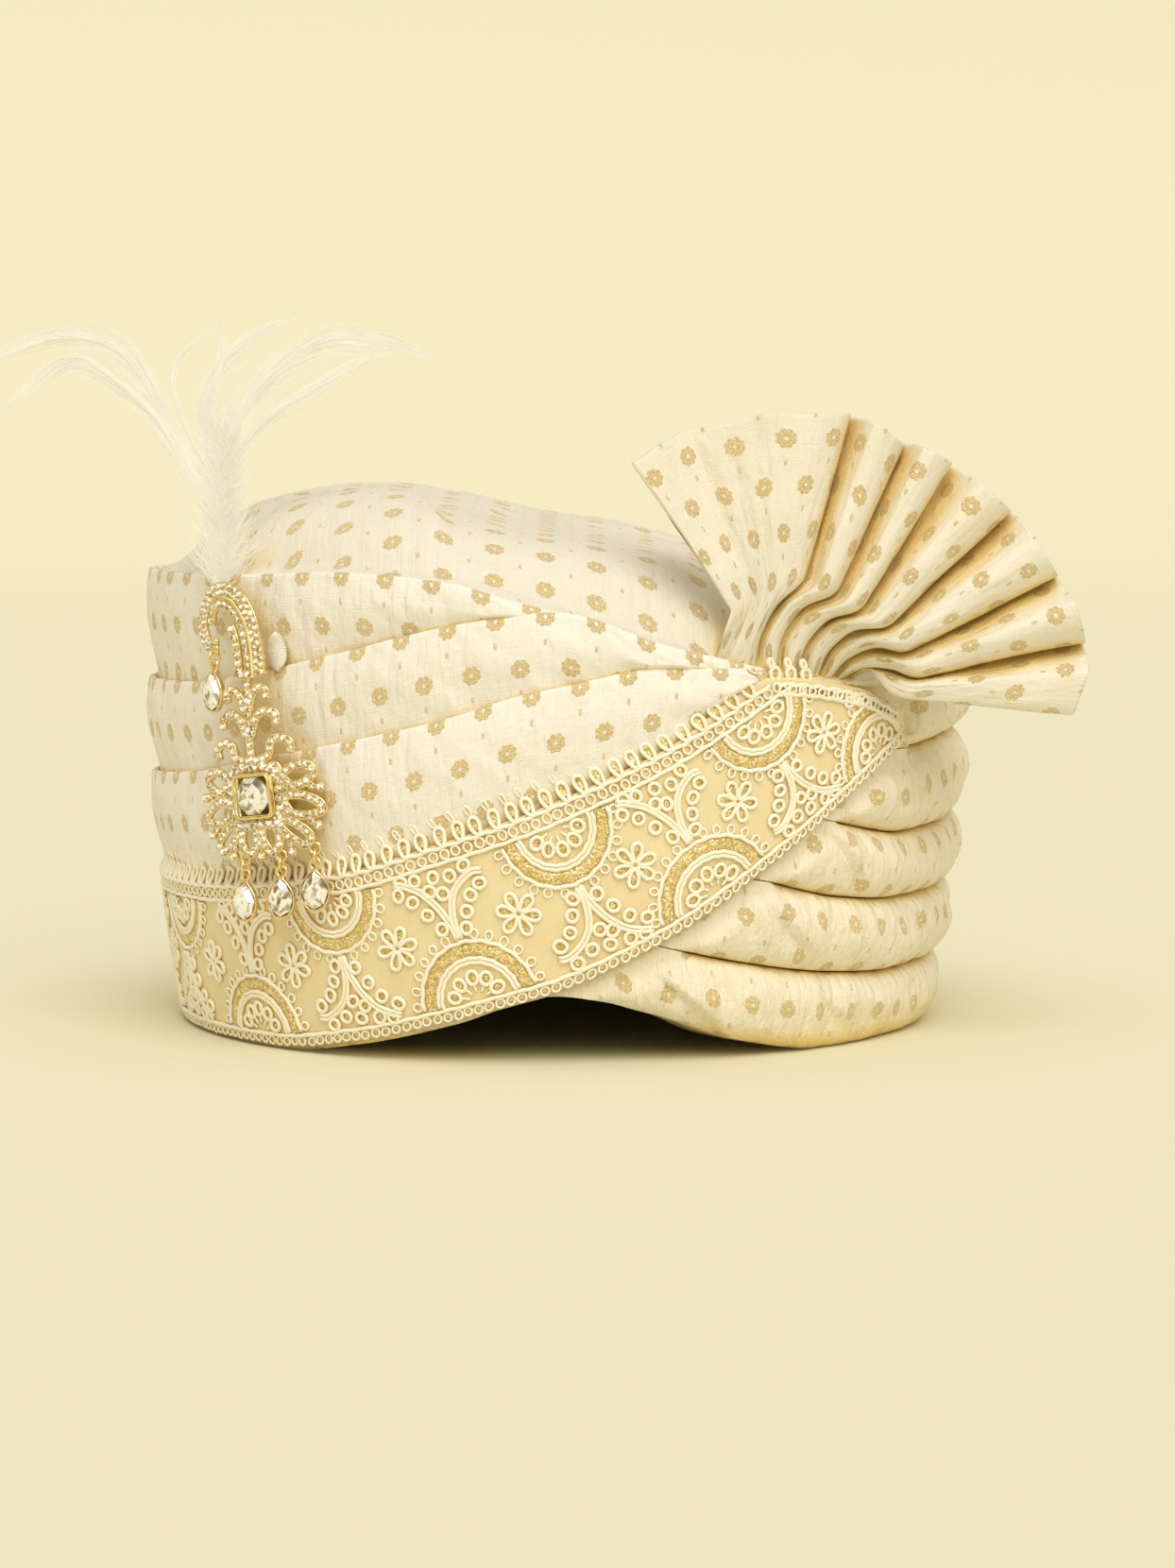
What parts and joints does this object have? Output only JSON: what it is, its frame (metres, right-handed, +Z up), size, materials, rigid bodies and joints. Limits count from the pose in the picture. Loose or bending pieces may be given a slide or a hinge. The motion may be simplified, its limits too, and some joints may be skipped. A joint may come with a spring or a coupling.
{
  "type": "tied turban with brooch and plume",
  "caption": "Tied cloth turban: wound rolls round an open head space, lapped wraps with an embroidered border, a draped crown, a pleated fan, and a jewelled brooch with drops and a plume.",
  "frame": {"origin": "centre of the head opening, on the plane that the rim rests on", "axes": "+Z up; the front faces -Y; the brooch and plume are towards -X and the fan towards +X"},
  "size_m": [0.3228, 0.2738, 0.2189],
  "materials": {
    "cloth": "cream cotton and silk with small woven gold rosettes",
    "border": "fine gold ground with cream cord embroidery",
    "gold": "polished gold plate",
    "stone": "clear cut crystal",
    "feather": "soft white down",
    "thread": "wound white thread"
  },
  "bodies": {
    "root": {"roll_1": "cloth", "roll_2": "cloth", "roll_3": "cloth", "roll_4": "cloth", "roll_5": "cloth", "upper_wrap": "cloth", "middle_wrap": "cloth", "low_wrap": "cloth", "border": "border", "crown": "cloth", "fan": "cloth", "brooch_setting": "gold", "centre_stone": "stone", "drop_cup_left": "gold", "drop_cup_middle": "gold", "drop_cup_right": "gold", "drop_cup_hook": "gold", "drop_ring_left": "gold", "drop_ring_middle": "gold", "drop_ring_right": "gold", "drop_ring_hook": "gold", "drop_stone_left": "stone", "drop_stone_middle": "stone", "drop_stone_right": "stone", "drop_stone_hook": "stone", "brooch_pin": "gold", "pin_pad": "thread", "plume": "feather"}
  },
  "joints": []
}
